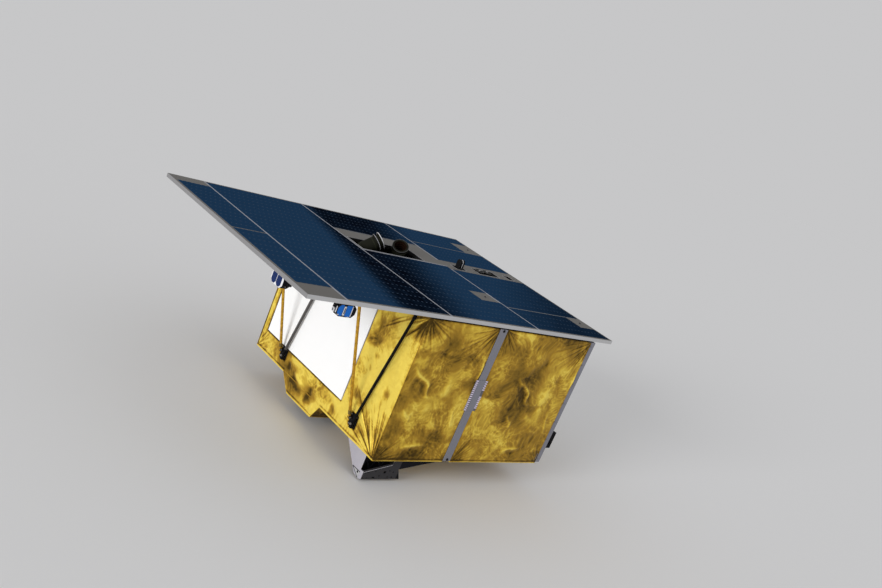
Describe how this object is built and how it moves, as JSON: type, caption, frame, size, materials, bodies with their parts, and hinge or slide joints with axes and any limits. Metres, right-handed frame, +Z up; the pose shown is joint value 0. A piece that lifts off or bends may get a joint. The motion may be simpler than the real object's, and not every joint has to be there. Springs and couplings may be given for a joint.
{
  "type": "earth observation satellite",
  "caption": "Box-shaped satellite in gold foil quilts under one large flat solar array that overhangs one end on struts, with a telescope hood, a hatch and a separation ring.",
  "frame": {"origin": "centre of the separation ring's lower face", "axes": "+Z up from the ring to the solar array, +X along the long side away from the array's overhang, -Y is the near side"},
  "size_m": [3.1, 2.18, 1.5185],
  "materials": {
    "antenna_black": "matt",
    "array_grey": "matt light grey carbon fibre sandwich",
    "baffle_black": "matt black",
    "bare_metal": "machined",
    "black_fitting": "black anodised",
    "bracket_grey": "machined",
    "carbon_black": "carbon fibre tube",
    "cell_blue": "cover glass over cells",
    "gold_foil": "crinkled metallised film",
    "gold_wrap": "film wrap",
    "inner_black": "matt black",
    "instrument_block": "dark anodised",
    "panel_skin": "panel skin",
    "radiator_white": "matt white",
    "ring_alloy": "turned",
    "sensor_housing": "dark anodised",
    "trim_grey": "satin"
  },
  "bodies": {
    "bus": {"adapter_ring": "ring_alloy", "antenna_left": "antenna_black", "antenna_right": "antenna_black", "array_panel": "array_grey", "black_strut_far": "carbon_black", "black_strut_near": "carbon_black", "bottom_panel": "panel_skin", "corner_angle_front": "trim_grey", "corner_angle_rear": "trim_grey", "corner_bracket": "bracket_grey", "front_panel": "panel_skin", "gold_strut_far": "gold_wrap", "gold_strut_near": "gold_wrap", "hatch_hinge": "baffle_black", "hood": "gold_foil", "instrument": "instrument_block", "left_panel": "panel_skin", "mid_strip_front": "trim_grey", "mid_strip_rear": "trim_grey", "mid_web": "panel_skin", "quilt_bottom": "gold_foil", "quilt_end": "gold_foil", "quilt_front_left": "gold_foil", "quilt_front_right": "gold_foil", "quilt_rear_left": "gold_foil", "quilt_rear_right": "gold_foil", "quilt_right": "gold_foil", "radiator": "radiator_white", "rear_panel": "panel_skin", "right_panel": "panel_skin", "sensor_head_end": "sensor_housing", "sensor_head_near": "sensor_housing", "sensor_post": "black_fitting", "side_box": "black_fitting", "solar_cells": "cell_blue", "standoffs": "panel_skin", "strut_foot_far": "black_fitting", "strut_foot_near": "black_fitting", "strut_head_black_far": "bare_metal", "strut_head_black_near": "bare_metal", "strut_head_gold_far": "bare_metal", "strut_head_gold_near": "bare_metal", "telescope_well": "inner_black", "top_panel": "panel_skin", "tracker_cradle_left": "bare_metal", "tracker_cradle_right": "bare_metal", "tracker_left": "baffle_black", "tracker_right": "baffle_black", "tracker_tray": "inner_black"},
    "hatch": {"hatch": "baffle_black"}
  },
  "joints": [
    {"name": "hatch_swing", "type": "hinge", "parent": "bus", "child": "hatch", "pos_m": [-0.70465, -0.065, 0.11], "axis": [1, 0, 0], "range_deg": [0, 85]}
  ]
}
